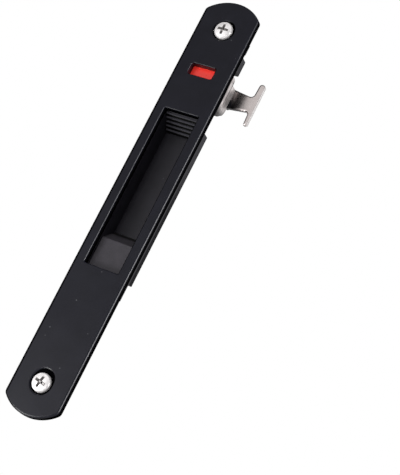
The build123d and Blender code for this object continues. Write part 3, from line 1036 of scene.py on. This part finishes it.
print("Screw sets can be made")

# %% [markdown]
# Fixing screws.
# Two M4 pan heads go in from the face, so head up means along -Y. Their places could be typed in, but
# read off the box of the CAD screws they follow the part when it changes.

# %% Fixing screws
fixing_head_height = 2.3 * mm
fixing_seat = screws_low.y + fixing_head_height
fixing_sizes = {
    "Head Radius": fixing_head,
    "Head Height": fixing_head_height,
    "Dome Radius": 11.0 * mm,
    "Neck Radius": 1.75 * mm,
    "Neck Length": 2.2 * mm,
    "Core Radius": 1.65 * mm,
    "Thread Height": 0.35 * mm,
    "Pitch": 0.7 * mm,
    "Length": screws_high.y - fixing_seat,
    "Cross Length": 5.8 * mm,
    "Cross Width": 1.3 * mm,
    "Cross Depth": 1.6 * mm,
}
places = [(0, fixing_seat, height) for height in screw_heights]
screw_set(
    "nickel_fixing_screws", "fixing_screws",
    places, spins=(-12, 0), tilt=90, finish=nickel, sizes=fixing_sizes,
)

# %% [markdown]
# Case screws.
# Four small screws hold the case's lugs to the plate from behind, so head up means along +Y. A second
# tree isn't needed, since they are the same screw in other sizes.

# %% Case screws
case_head = 2.3 * mm
case_head_height = 1.6 * mm
small_low, small_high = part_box("case_screws")
case_seat = small_high.y - case_head_height
case_sizes = {
    "Head Radius": case_head,
    "Head Height": case_head_height,
    "Dome Radius": 5.0 * mm,
    "Neck Radius": 1.05 * mm,
    "Neck Length": 0.5 * mm,
    "Core Radius": 1.0 * mm,
    "Thread Height": 0.25 * mm,
    "Pitch": 0.6 * mm,
    "Length": case_seat - small_low.y,
    "Cross Length": 2.8 * mm,
    "Cross Width": 0.8 * mm,
    "Cross Depth": 0.9 * mm,
}
case_columns = (small_low.x + case_head, small_high.x - case_head)
case_rows = (small_low.z + case_head, small_high.z - case_head)
places = [(x, case_seat, z) for x in case_columns for z in case_rows]
screw_set(
    "zinc_case_screws", "case_screws",
    places, spins=(12, 50, 75, 31), tilt=-90, finish=zinc, sizes=case_sizes,
)

# %% [markdown]
# Floor.
# The lock hangs clear of a pale floor, as in a catalogue picture. A floor right below it would throw a
# grey light on the plate's lower end.

# %% Floor
floor_drop = 200 * mm
floor_half = 6.0
floor_z = cad_low.z - floor_drop
corners = [(-1, -1), (1, -1), (1, 1), (-1, 1)]
floor_mesh = bpy.data.meshes.new("studio_floor")
floor_mesh.from_pydata([(x * floor_half, y * floor_half, floor_z) for x, y in corners], [], [(0, 1, 2, 3)])
floor = new_object("studio_floor", floor_mesh)
floor_material = bpy.data.materials.new("pale_floor")
floor_material.use_nodes = True
pale = floor_material.node_tree.nodes["Principled BSDF"]
pale.inputs["Base Color"].default_value = (0.82, 0.82, 0.82, 1.0)
pale.inputs["Roughness"].default_value = 0.9
floor_mesh.materials.append(floor_material)
print("Floor at", round(floor_z, 3), "m")

# %% [markdown]
# The world as a light tent.
# Black and steel take their shape from what they mirror. In a tent that is white all round, black would
# turn grey and steel flat. So gloss sees a tent that is brightest to the right and low and darkens towards
# the other side. Two dark flags hang in it, one in front and one behind.

# %% Light tent
bright_side = Vector((0.75, -0.25, -0.60))
world = bpy.data.worlds.new("light_tent")
bpy.context.scene.world = world
world.use_nodes = True
tree = world.node_tree
direction = add_node(tree, "ShaderNodeTexCoord").outputs["Generated"]


def toward(side):
    """How far a ray looks towards a side: 1 straight at it, -1 straight away."""
    inputs = {0: direction, 1: Vector(side).normalized()}
    return add_node(tree, "ShaderNodeVectorMath", inputs, operation="DOT_PRODUCT").outputs["Value"]


def dark_flag(light, side, begin, full, left):
    """A dark flag hung in the tent: the light from one side falls off to the share that is left."""
    share = ranged(tree, toward(side), begin, full, 1.0, left, "SMOOTHSTEP")
    return combined(tree, "MULTIPLY", light, share)


tent = ranged(tree, toward(bright_side), low=-0.95, high=-0.05, to_low=0.04, curve="SMOOTHSTEP")
front_flagged = dark_flag(tent, (0.42, -0.87, 0.20), begin=0.80, full=0.94, left=0.02)
flagged_tent = dark_flag(front_flagged, (-0.55, 0.83, -0.10), begin=0.60, full=0.90, left=0.05)
print("Tent is brightest towards", [round(part, 2) for part in bright_side])

# %% [markdown]
# Which ray sees what.
# One background for all rays would tie the white of the picture to the light on the lock. Light Path tells
# rays apart: diffuse rays see an even tent, glossy rays the shaped one, and the camera plain white.

# %% World output
tent_light = 0.9
WHITE = (1.0, 1.0, 1.0, 1.0)
path = add_node(tree, "ShaderNodeLightPath").outputs
soft = tree.nodes["Background"]
feed(tree, soft.inputs["Color"], WHITE)
feed(tree, soft.inputs["Strength"], tent_light)
gloss = add_node(tree, "ShaderNodeBackground", {"Color": WHITE, "Strength": flagged_tent})
plain = add_node(tree, "ShaderNodeBackground", {"Color": WHITE, "Strength": 1.0})
shown = soft
straight = combined(tree, "MAXIMUM", path["Is Camera Ray"], path["Is Transmission Ray"])
for ray, light in ((path["Is Glossy Ray"], gloss), (straight, plain)):
    shown = add_node(tree, "ShaderNodeMixShader", {"Fac": ray, 1: shown.outputs[0], 2: light.outputs[0]})
feed(tree, tree.nodes["World Output"].inputs["Surface"], shown.outputs[0])
print("World lights at", tent_light)

# %% [markdown]
# Lamps.
# Two weak boxes light the whole lock: one in front to the left lifts the plate towards its lower end, and
# one below draws the upper rims. One strong lamp would burn out the steel before the black shows its shape.

# %% Soft boxes
def soft_box(name, place, aim, side, power, pieces=()):
    """A square lamp that lights all, or only the given pieces."""
    lamp = bpy.data.lights.new(name, "AREA")
    lamp.shape = "SQUARE"
    lamp.size = side
    lamp.energy = power
    box = new_object(name, lamp)
    box.location = place
    box.rotation_euler = (Vector(aim) - Vector(place)).to_track_quat("-Z", "Y").to_euler()
    box.visible_camera = False
    if pieces:
        receivers = bpy.data.collections.new(name + "_pieces")
        for piece in pieces:
            receivers.objects.link(piece)
        box.light_linking.receiver_collection = receivers
    print("Lamp", name, power, "W")


middle = (cad_low + cad_high) / 2
soft_box("low_box", (-0.42, -0.72, -0.10), middle, side=0.30, power=0.7)
soft_box("under_box", (-0.19, -0.25, -0.27), middle, side=0.15, power=1.3)

# %% [markdown]
# Linked lamps.
# The light line on the plate's right edge comes from a box far to the right, those on its lower arc and
# seat rims from two small boxes, and a box in front reaches into the cup. On the whole lock they would be
# too much, so each lights only the pieces of one collection.

# %% Linked boxes
lower_end = (0.0, 0.0, cad_low.z)
cup_pieces = [case, slider, end_block]
soft_box("edge_box", (0.59, -0.17, 0.10), middle, side=0.30, power=10.0, pieces=[plate])
soft_box("arc_box", (-0.11, -0.14, -0.20), lower_end, side=0.09, power=0.3, pieces=[plate])
soft_box("rim_box", (0.41, -0.245, -0.20), middle, side=0.22, power=0.8, pieces=[plate])
soft_box("cup_box", (-0.06, -0.65, -0.02), middle, side=0.20, power=1.2, pieces=cup_pieces)

# %% [markdown]
# Camera.
# Its place and turn were worked out from the plate's edges, the cup, the window and the screws, so that
# they fall where the picture shows them. Trying by eye gets the angle about right, but not the perspective.
# The focal length is known in pixels of the picture, which is 475 high.

# %% Camera
focal_pixels = 1319.95
picture_height = 475
sensor = 36.0
camera_place = Vector((0.24397, -0.43910, -0.14096))
camera_right = Vector((0.85743, 0.28327, 0.42961)).normalized()
camera_back = camera_right.cross(Vector((-0.29663, -0.41011, 0.86245))).normalized()
camera_up = camera_back.cross(camera_right)
lens = bpy.data.cameras.new("picture_camera")
lens.sensor_width = sensor
lens.lens = focal_pixels / picture_height * sensor
camera = new_object("picture_camera", lens)
camera_turn = Matrix((camera_right, camera_up, camera_back)).transposed().to_4x4()
camera.matrix_world = Matrix.Translation(camera_place) @ camera_turn
bpy.context.scene.camera = camera
bpy.context.scene.view_settings.view_transform = "Standard"
print("Lens", round(lens.lens, 2), "mm")
